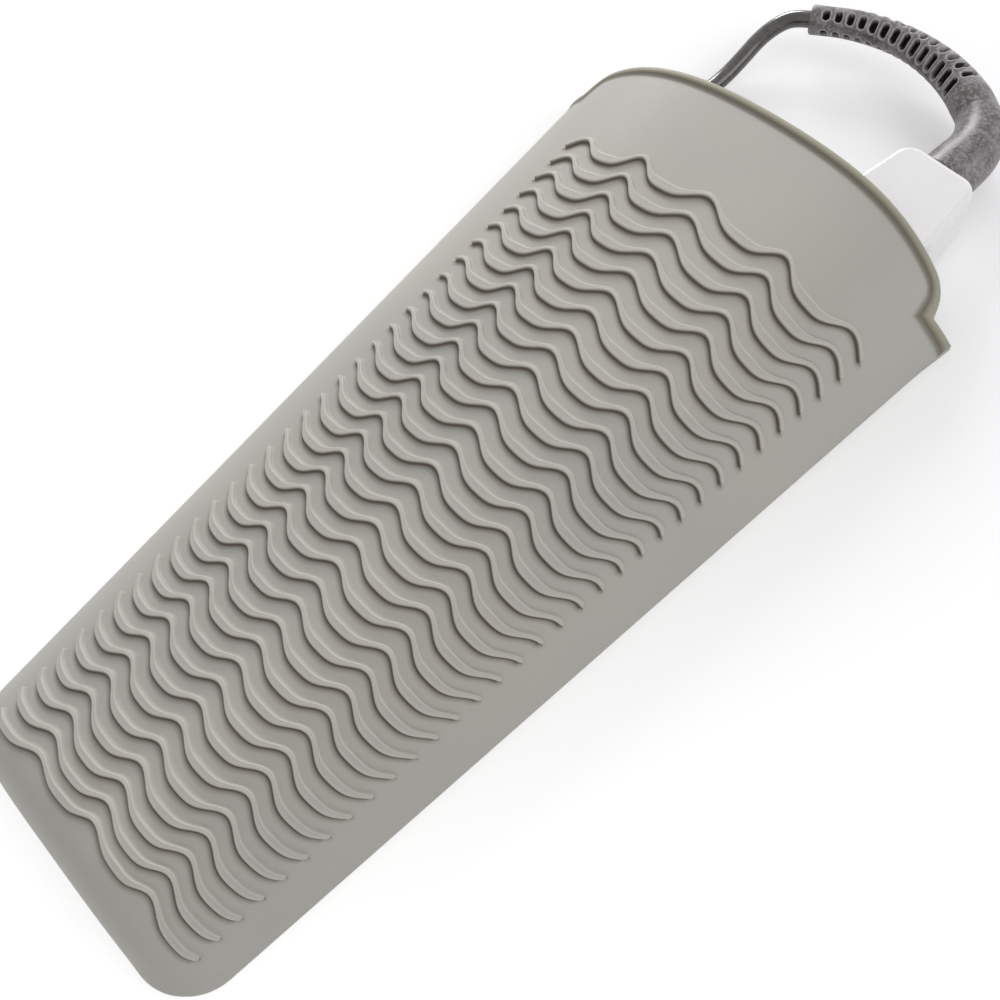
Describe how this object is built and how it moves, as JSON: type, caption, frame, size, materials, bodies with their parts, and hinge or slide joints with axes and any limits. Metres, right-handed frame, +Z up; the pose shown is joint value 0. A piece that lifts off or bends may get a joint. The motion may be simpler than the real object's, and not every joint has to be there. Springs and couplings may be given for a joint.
{
  "type": "hair crimper",
  "caption": "Hair crimper stored in a tapered, ridged silicone heat sleeve: hinged arms with zigzag plates, tail block, ribbed cord guard, folded mains cord and plug",
  "frame": {"origin": "on the table under the middle of the sleeve and tool's bounding box, cord and guard left out", "axes": "+Y from the sleeve's closed end to its mouth and the tool's tail, +X across to the tool's side, +Z up from the table"},
  "size_m": [0.1552, 0.368, 0.0331],
  "materials": {
    "sleeve_silicone": "matte",
    "white_housing": "satin",
    "heat_plastic": "matte",
    "plate_metal": "satin",
    "heater_ceramic": "matte",
    "steel": "brushed",
    "button_plastic": "satin",
    "lens_plastic": "glossy",
    "board": "matte",
    "lead_sheath": "matte",
    "guard_rubber": "matte",
    "cord_sheath": "glossy",
    "plug_plastic": "satin",
    "tie_fabric": "woven",
    "brass": "polished"
  },
  "bodies": {
    "sleeve": {"sleeve_back_sheet": "sleeve_silicone", "sleeve_front_sheet": "sleeve_silicone", "sleeve_ridges": "sleeve_silicone"},
    "tool": {"fixed_arm_shell": "white_housing", "fixed_tip_cap": "white_housing", "fixed_inner_cover": "heat_plastic", "fixed_plate_carrier": "heat_plastic", "fixed_crimp_plate": "plate_metal", "fixed_heater": "heater_ceramic", "hinge_bracket": "steel", "hinge_pin": "steel", "hinge_washers": "steel", "arm_spring": "steel", "tail_housing": "white_housing", "tail_cover": "white_housing", "tail_screws": "steel", "cord_clamp": "heat_plastic", "circuit_board": "board", "board_screws": "steel", "tact_switches": "heat_plastic", "display_lens": "lens_plastic", "thermal_fuse": "heater_ceramic", "mains_leads": "lead_sheath", "heater_leads": "lead_sheath", "cord_guard": "guard_rubber", "cord_lead": "cord_sheath", "cord_hank": "cord_sheath", "cord_tail": "cord_sheath", "hank_tie": "tie_fabric", "plug_body": "plug_plastic", "plug_pins": "brass"},
    "moving_arm": {"moving_arm_shell": "white_housing", "moving_tip_cap": "white_housing", "moving_inner_cover": "heat_plastic", "moving_plate_carrier": "heat_plastic", "moving_knuckle": "steel"},
    "moving_plate": {"moving_crimp_plate": "plate_metal", "moving_heater": "heater_ceramic"},
    "power_button": {"power_button": "button_plastic"},
    "heat_up_button": {"heat_up_button": "button_plastic"},
    "heat_down_button": {"heat_down_button": "button_plastic"}
  },
  "joints": [
    {"name": "tool_slide", "type": "slide", "parent": "sleeve", "child": "tool", "axis": [0.061, 0.9981, 0], "range_m": [0, 0.28]},
    {"name": "arm_hinge", "type": "hinge", "parent": "tool", "child": "moving_arm", "pos_m": [0.04085, 0.13682, 0.0125], "axis": [0, 0, -1], "range_deg": [0, 8]},
    {"name": "plate_float", "type": "slide", "parent": "moving_arm", "child": "moving_plate", "axis": [-0.9981, 0.061, 0], "range_m": [0, 0.0008], "stiffness_N_per_m": 3000},
    {"name": "power_button_press", "type": "slide", "parent": "tool", "child": "power_button", "axis": [0, 0, -1], "range_m": [0, 0.0007], "stiffness_N_per_m": 700},
    {"name": "heat_up_button_press", "type": "slide", "parent": "tool", "child": "heat_up_button", "axis": [0, 0, -1], "range_m": [0, 0.0007], "stiffness_N_per_m": 700},
    {"name": "heat_down_button_press", "type": "slide", "parent": "tool", "child": "heat_down_button", "axis": [0, 0, -1], "range_m": [0, 0.0007], "stiffness_N_per_m": 700}
  ]
}
